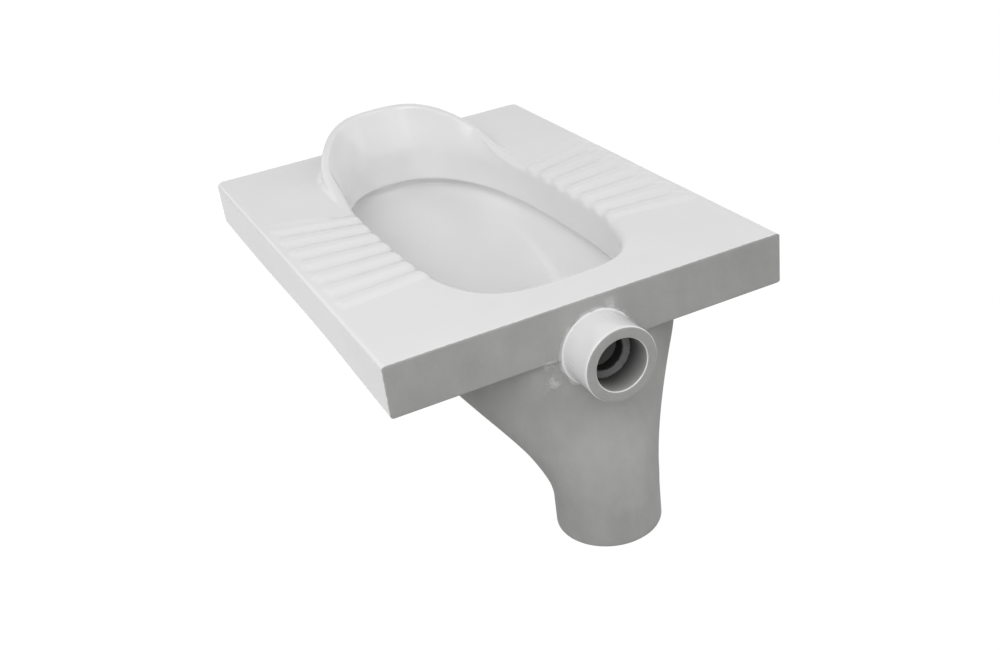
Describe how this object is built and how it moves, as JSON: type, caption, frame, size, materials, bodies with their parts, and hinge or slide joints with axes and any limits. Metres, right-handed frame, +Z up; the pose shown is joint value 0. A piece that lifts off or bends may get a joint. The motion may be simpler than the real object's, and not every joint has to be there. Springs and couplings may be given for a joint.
{
  "type": "squat toilet",
  "caption": "Ceramic squat pan with ribbed footrests, boxed flush rim, splash hood, funnel bowl, flush pipe inlet and drain spigot.",
  "frame": {"origin": "centre of the outlet's mouth, which is the point a pan is set out from", "axes": "+Z up, +Y from the flush inlet towards the splash hood, +X to the right of someone who looks along +Y"},
  "size_m": [0.44, 0.645, 0.317],
  "materials": {
    "glazed": "white gloss glaze over fired vitreous china",
    "bare": "unglazed fired body, matte, with faint smears of slip"
  },
  "bodies": {
    "root": {"deck": "glazed", "left_footrest": "glazed", "right_footrest": "glazed", "splash_hood": "glazed", "flush_rim": "glazed", "inlet_duct": "bare", "inlet_spout": "glazed", "spout_lute": "glazed", "bowl": "bare", "outlet_horn": "bare", "outlet_spigot": "bare", "left_web": "bare", "right_web": "bare"}
  },
  "joints": []
}
